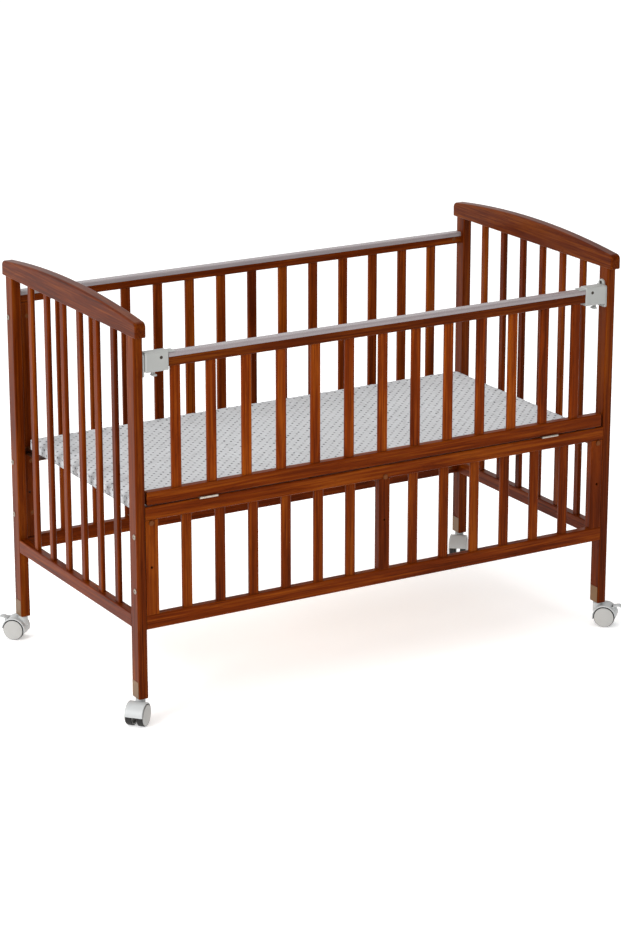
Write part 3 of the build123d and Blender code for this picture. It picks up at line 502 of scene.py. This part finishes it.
def shape_pad(me, hx, hy, z0, z1):
    """rolled edges, a faint crown and the slow waves of a foam pad in a loose cover"""
    from mathutils import noise as N
    mid = (z0 + z1) / 2
    half = (z1 - z0) / 2
    roll = 0.010
    for v in me.vertices:
        x, y, z = v.co
        ex, ey = hx - abs(x), hy - abs(y)
        e = max(0.0, min(ex, ey))
        top = z > mid
        if e < roll * 1.8:
            q = 1 - e / (roll * 1.8)
            drop = 0.0030 * q ** 2.2
            if abs(z - mid) > half * 0.98:
                z = z - drop if top else z + drop * 0.55
        side = abs(z - mid) / half
        if e < 1e-5:
            inset = 0.0016 * side ** 3
            sx = 1 if ex < ey + 1e-6 else 0
            if ex < 1e-4:
                x -= math.copysign(inset, x)
            if ey < 1e-4:
                y -= math.copysign(inset, y)
        if top and e > roll:
            f = min(1.0, (e - roll) / 0.06)
            w = N.noise(Vector((x * 5.2, y * 6.1, 0.3))) * 0.0011 + N.noise(Vector((x * 17.0, y * 15.0, 1.3))) * 0.0005
            z += f * (w - 0.0006)
        v.co = (x, y, z)


HX, HY, Z0, Z1 = 0.588, 0.290, 0.4602, 0.4902


def tube(points, r, name, mat, closed=True, res=8):
    cu = bpy.data.curves.new(name, "CURVE")
    cu.dimensions = "3D"
    sp = cu.splines.new("POLY")
    sp.points.add(len(points) - 1)
    for p, q in zip(sp.points, points):
        p.co = (q[0], q[1], q[2], 1.0)
    sp.use_cyclic_u = closed
    cu.bevel_depth = r
    cu.bevel_resolution = 3
    o = bpy.data.objects.new(name, cu)
    bpy.context.scene.collection.objects.link(o)
    dg = bpy.context.evaluated_depsgraph_get()
    me = bpy.data.meshes.new_from_object(o.evaluated_get(dg))
    bpy.data.objects.remove(o)
    ob = bpy.data.objects.new(name, me)
    bpy.context.scene.collection.objects.link(ob)
    for p in me.polygons:
        p.use_smooth = True
    me.materials.clear()
    me.materials.append(mat)
    return ob


def cloth_cover(me):
    """the loose printed cover over the foam: light pressure, extra cloth, and the foam holding it back"""
    o = bpy.data.objects.new("cover_sim", me)
    bpy.context.scene.collection.objects.link(o)
    rm = o.modifiers.new("r", "REMESH")
    rm.mode = "VOXEL"
    rm.voxel_size = 0.0052
    dg = bpy.context.evaluated_depsgraph_get()
    dense = bpy.data.meshes.new_from_object(o.evaluated_get(dg))
    bpy.data.objects.remove(o)
    rest = [Vector(v.co) for v in dense.vertices]
    o = bpy.data.objects.new("cover_sim2", dense)
    bpy.context.scene.collection.objects.link(o)
    g = o.vertex_groups.new(name="hold")
    for v in dense.vertices:
        x, y, z = v.co
        ex, ey = HX - abs(x), HY - abs(y)
        e = min(ex, ey)
        if z < Z0 + 0.006:
            w = 1.0
        elif z > Z1 - 0.009 and e < 0.011:
            w = 0.75
        elif z > Z1 - 0.009:
            w = 0.10 + 0.10 * min(1.0, e / 0.12)
        else:
            w = 0.22
        g.add([v.index], w, "REPLACE")
    c = o.modifiers.new("c", "CLOTH")
    st = c.settings
    st.quality = 5
    st.mass = 0.25
    st.tension_stiffness = 22
    st.compression_stiffness = 22
    st.shear_stiffness = 6
    st.bending_stiffness = 0.6
    st.tension_damping = 6
    st.compression_damping = 6
    st.shear_damping = 6
    st.use_pressure = True
    st.uniform_pressure_force = 4.0
    st.vertex_group_mass = "hold"
    st.pin_stiffness = 1.6
    st.shrink_min = -0.022
    st.effector_weights.gravity = 0.0
    c.collision_settings.use_collision = False
    sc = bpy.context.scene
    for f in range(1, 21):
        sc.frame_set(f)
    dg = bpy.context.evaluated_depsgraph_get()
    done = bpy.data.meshes.new_from_object(o.evaluated_get(dg))
    sc.frame_set(1)
    bpy.data.objects.remove(o)
    cap_top, cap_side = 0.0034, 0.0008
    for v, r in zip(done.vertices, rest):
        d = v.co - r
        cap = cap_top if r.z > Z1 - 0.009 else cap_side
        if r.z < Z0 + 0.006:
            cap = 0.0004
        L = d.length
        if L > 1e-9:
            v.co = r + d * (cap * math.tanh(L / cap) / L)
        if v.co.z < Z0 + 0.0002:
            v.co.z = Z0 + 0.0002
    return done


fab = fabric()
me = rounded_pad(HX - 0.0012, HY - 0.0012, Z0 + 0.0004, Z1 - 0.0016, 0.008, 118, 58)
shape_pad(me, HX - 0.0012, HY - 0.0012, Z0 + 0.0004, Z1 - 0.0016)
me = cloth_cover(me)
pad = bpy.data.objects.new("mattress_pad", me)
bpy.context.scene.collection.objects.link(pad)
me.materials.clear()
me.materials.append(fab)
for p in me.polygons:
    p.use_smooth = True
sub = pad.modifiers.new("s", "SUBSURF")
sub.levels = 1
sub.render_levels = 1
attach(pad, "mattress")
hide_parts("mattress")

# sewn seams round the pad's top and bottom edges
from mathutils.bvhtree import BVHTree
tree = BVHTree.FromPolygons([v.co for v in me.vertices], [tuple(p.vertices) for p in me.polygons])


def seam_path(z, inset, corner, n=340):
    hx, hy = HX - inset, HY - inset
    pts = []
    per = []
    for cx, cy, a0 in ((hx - corner, hy - corner, 0), (-hx + corner, hy - corner, 90), (-hx + corner, -hy + corner, 180), (hx - corner, -hy + corner, 270)):
        for q in range(0, 91, 15):
            a = math.radians(a0 + q)
            per.append(Vector((cx + corner * math.cos(a), cy + corner * math.sin(a), z)))
    dense = []
    for i, p in enumerate(per):
        q = per[(i + 1) % len(per)]
        m = max(1, int((q - p).length / 0.006))
        for s_ in range(m):
            dense.append(p.lerp(q, s_ / m))
    out = []
    for p in dense:
        hit, nrm, ix, dist = tree.find_nearest(p)
        out.append(Vector(hit) + Vector(nrm) * 0.0002 if hit is not None else p)
    # take out the jitter of the grid
    for _ in range(4):
        out = [(out[i - 1] + out[i] * 2 + out[(i + 1) % len(out)]) / 4 for i in range(len(out))]
    return out


welt_mat = fabric()
welt_mat.name = "mattress_seam"
for nm, z in (("mattress_seam_top", Z1 - 0.0050), ("mattress_seam_bottom", Z0 + 0.0050)):
    w = tube(seam_path(z, 0.0010, 0.009), 0.0011, nm, welt_mat)
    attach(w, "mattress")


# the latch springs get their own copies of the coil mesh, carried by the gate body; the CAD springs are hidden
for side, sx in (("left", -1.0), ("right", 1.0)):
    src = NODES[side + "_latch_spring"]
    coil_me = src.data.copy()
    coil_me.name = side + "_spring_coil"
    coil = bpy.data.objects.new(side + "_spring_coil", coil_me)
    bpy.context.scene.collection.objects.link(coil)
    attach(coil, "gate")
    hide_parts(side + "_latch_spring")
    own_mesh(coil)


# ------------------------------------------------------------------ stage, light, camera
def stage_floor():
    me = bpy.data.meshes.new("floor")
    s = 40.0
    me.from_pydata([(-s, -s, 0), (s, -s, 0), (s, s, 0), (-s, s, 0)], [], [(0, 1, 2, 3)])
    o = bpy.data.objects.new("floor", me)
    bpy.context.scene.collection.objects.link(o)
    k = Mat("pale_floor")
    k.bsdf.inputs["Base Color"].default_value = (0.93, 0.93, 0.93, 1)
    k.bsdf.inputs["Roughness"].default_value = 0.9
    k.bsdf.inputs["Specular IOR Level"].default_value = 0.1
    k.bsdf.inputs["Emission Color"].default_value = (1, 1, 1, 1)
    k.bsdf.inputs["Emission Strength"].default_value = 0.38
    me.materials.append(k.m)
    return o


stage_floor()
world = bpy.data.worlds.new("studio")
bpy.context.scene.world = world
world.use_nodes = True
wt = world.node_tree
bg = wt.nodes["Background"]
# a soft studio: bright to the left, behind and above, dimmer in front and to the right
tcw = wt.nodes.new("ShaderNodeTexCoord")
sepw = wt.nodes.new("ShaderNodeSeparateXYZ")
wt.links.new(tcw.outputs["Generated"], sepw.inputs[0])


def wmath(op, a, b=None, clamp=False):
    n = wt.nodes.new("ShaderNodeMath")
    n.operation = op
    n.use_clamp = clamp
    for sock, v in ((n.inputs[0], a), (n.inputs[1], b)):
        if v is None:
            continue
        if isinstance(v, bpy.types.NodeSocket):
            wt.links.new(v, sock)
        else:
            sock.default_value = v
    return n.outputs[0]


left = wmath("MULTIPLY", sepw.outputs[0], -1.0, True)
back = wmath("MULTIPLY", sepw.outputs[1], 1.0, True)
up = wmath("MULTIPLY", sepw.outputs[2], 1.0, True)
tot = wmath("ADD", 0.22, wmath("MULTIPLY", left, 0.80))
tot = wmath("ADD", tot, wmath("MULTIPLY", back, 0.60))
tot = wmath("ADD", tot, wmath("MULTIPLY", up, 0.30))
wt.links.new(tot, bg.inputs[1])
bg.inputs[0].default_value = (1.0, 1.0, 1.0, 1.0)


def area(name, loc, target, size, power, color=(1, 1, 1)):
    l = bpy.data.lights.new(name, "AREA")
    l.shape = "RECTANGLE"
    l.size, l.size_y = size
    l.energy = power
    l.color = color
    o = bpy.data.objects.new(name, l)
    bpy.context.scene.collection.objects.link(o)
    o.location = loc
    d = Vector(target) - Vector(loc)
    o.rotation_euler = d.to_track_quat("-Z", "Y").to_euler()
    return o


area("key_left", (-4.4, -1.4, 2.4), (0, 0, 0.55), (2.2, 2.2), 130)
area("fill_front", (1.2, -4.8, 3.0), (0.2, 0, 0.5), (2.4, 1.6), 45)
area("top_soft", (0.2, 0.6, 4.4), (0, 0, 0.4), (3.6, 2.6), 60)

cam_d = bpy.data.cameras.new("photo_camera")
cam = bpy.data.objects.new("photo_camera", cam_d)
bpy.context.scene.collection.objects.link(cam)
bpy.context.scene.camera = cam
cam.location = (-3.34265, -5.71478, 2.47516)
cam.rotation_euler = (math.radians(90 - 17.33), 0, math.radians(-30.29))
cam_d.sensor_fit = "AUTO"
cam_d.sensor_width = 36.0
cam_d.lens = 2984.6 / 931.0 * 36.0
cam_d.clip_end = 200.0
bpy.context.scene.view_settings.view_transform = "Standard"
bpy.context.scene.view_settings.look = "None"
